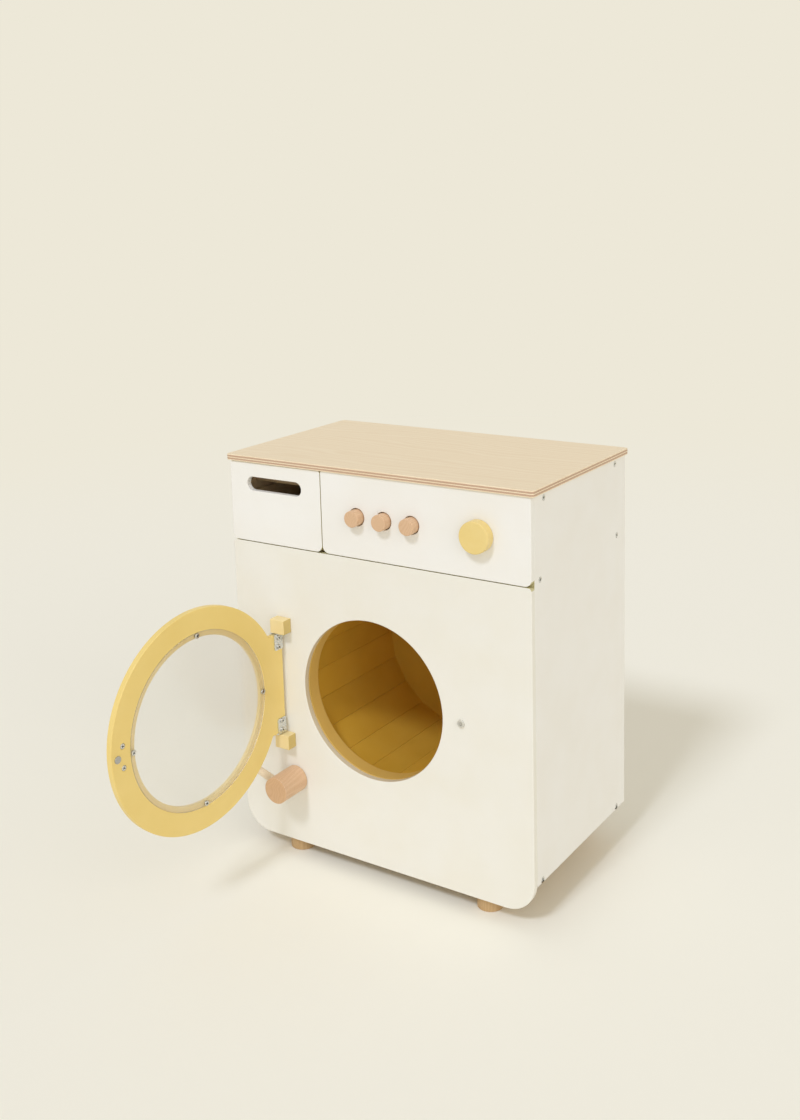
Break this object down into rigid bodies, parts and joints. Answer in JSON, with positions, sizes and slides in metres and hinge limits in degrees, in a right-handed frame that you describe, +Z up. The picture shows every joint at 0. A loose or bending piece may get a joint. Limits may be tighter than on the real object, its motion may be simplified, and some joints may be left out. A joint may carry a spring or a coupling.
{
  "type": "toy washing machine",
  "caption": "Painted plywood toy front-loading washing machine with a hinged round door, a crank-driven drum, a drawer, push buttons and a dial.",
  "frame": {"origin": "centre of the bounding box on the floor, at the undersides of the feet, with the door standing open as it does at rest", "axes": "+X to the viewer's right when facing the front, +Y from the front towards the back, +Z up"},
  "size_m": [0.439, 0.5356, 0.527],
  "materials": {
    "birch_top": "clear satin lacquer, plies showing on the edge",
    "white_paint": "off-white satin paint on plywood",
    "birch_ply": "bare sanded birch plywood",
    "beech": "turned beech, clear lacquer",
    "birch_dowel": "sanded birch dowel",
    "yellow_paint": "yellow satin paint on plywood",
    "ochre_paint": "ochre yellow satin paint",
    "knob_yellow": "pale yellow satin paint",
    "screw_zinc": "zinc-plated",
    "hinge_steel": "zinc-plated sheet",
    "axle_steel": "ground steel",
    "spring_steel": "plain wire",
    "latch_steel": "plain steel disc",
    "magnet_nickel": "nickel-plated",
    "bush_brass": "plain brass",
    "rubber_cord": "matt",
    "clear_acrylic": "clear acrylic sheet"
  },
  "bodies": {
    "cabinet": {"top_panel": "birch_top", "left_side_panel": "white_paint", "right_side_panel": "white_paint", "back_panel": "white_paint", "bottom_board": "birch_ply", "shelf_board": "birch_ply", "top_rails": "birch_ply", "drawer_partition": "birch_ply", "drawer_stop": "birch_ply", "lower_front_panel": "white_paint", "control_panel": "white_paint", "battens": "birch_ply", "button_rail": "birch_ply", "feet": "beech", "cabinet_screws": "screw_zinc", "inner_screws": "screw_zinc", "rail_screws": "screw_zinc", "hinge_blocks": "yellow_paint", "latch_plate": "latch_steel", "latch_screw": "screw_zinc", "bearing_block": "birch_ply", "drum_bush": "bush_brass", "wheel_brackets": "birch_ply", "idler_axle": "axle_steel", "left_spring": "spring_steel", "middle_spring": "spring_steel", "right_spring": "spring_steel"},
    "drum": {"drum_front_ring": "yellow_paint", "drum_staves": "ochre_paint", "drum_back": "ochre_paint", "drum_axle": "axle_steel", "axle_screws": "screw_zinc"},
    "crank": {"crank_hub": "beech", "crank_lever": "birch_dowel", "crank_shaft": "axle_steel", "drive_wheel": "birch_ply", "drive_tyre": "rubber_cord"},
    "idler": {"idler_wheel": "birch_ply", "idler_tyre": "rubber_cord"},
    "door": {"door_ring": "yellow_paint", "door_window": "clear_acrylic", "window_screws": "screw_zinc", "door_handle": "beech", "handle_screws": "screw_zinc", "door_magnet": "magnet_nickel", "hinge_brackets": "hinge_steel", "hinge_screws": "screw_zinc"},
    "drawer": {"drawer_front": "white_paint", "drawer_inner_front": "birch_ply", "drawer_sides": "birch_ply", "drawer_back": "birch_ply", "drawer_bottom": "birch_ply", "drawer_screws": "screw_zinc"},
    "button_left": {"left_button": "beech"},
    "button_middle": {"middle_button": "beech"},
    "button_right": {"right_button": "beech"},
    "dial": {"dial_knob": "knob_yellow", "dial_axle": "beech", "dial_washer": "birch_ply", "dial_screw": "screw_zinc"}
  },
  "joints": [
    {"name": "door_hinge", "type": "hinge", "parent": "cabinet", "child": "door", "pos_m": [-0.145, 0.0068, 0.237], "axis": [0, 0, 1], "range_deg": [-76, 94]},
    {"name": "drum_spin", "type": "hinge", "parent": "cabinet", "child": "drum", "pos_m": [-0.007, 0.2, 0.237], "axis": [0, 1, 0], "continuous": true},
    {"name": "crank_turn", "type": "hinge", "parent": "cabinet", "child": "crank", "pos_m": [-0.1285, 0, 0.108], "axis": [0, 1, 0], "continuous": true},
    {"name": "idler_turn", "type": "hinge", "parent": "cabinet", "child": "idler", "pos_m": [0.1145, 0.03, 0.108], "axis": [0, 1, 0], "continuous": true},
    {"name": "drawer_slide", "type": "slide", "parent": "cabinet", "child": "drawer", "axis": [0, -1, 0], "range_m": [0, 0.119]},
    {"name": "left_button_press", "type": "slide", "parent": "cabinet", "child": "button_left", "axis": [0, 1, 0], "range_m": [0, 0.007], "stiffness_N_per_m": 200, "springref_m": -0.002, "deforming": ["left_spring"]},
    {"name": "middle_button_press", "type": "slide", "parent": "cabinet", "child": "button_middle", "axis": [0, 1, 0], "range_m": [0, 0.007], "stiffness_N_per_m": 200, "springref_m": -0.002, "deforming": ["middle_spring"]},
    {"name": "right_button_press", "type": "slide", "parent": "cabinet", "child": "button_right", "axis": [0, 1, 0], "range_m": [0, 0.007], "stiffness_N_per_m": 200, "springref_m": -0.002, "deforming": ["right_spring"]},
    {"name": "dial_turn", "type": "hinge", "parent": "cabinet", "child": "dial", "pos_m": [0.149, 0, 0.4675], "axis": [0, 1, 0], "continuous": true}
  ],
  "couplings": [
    {"joint": "crank_turn", "follows": "drum_spin", "ratio": -3.0296},
    {"joint": "idler_turn", "follows": "drum_spin", "ratio": -3.0296}
  ]
}
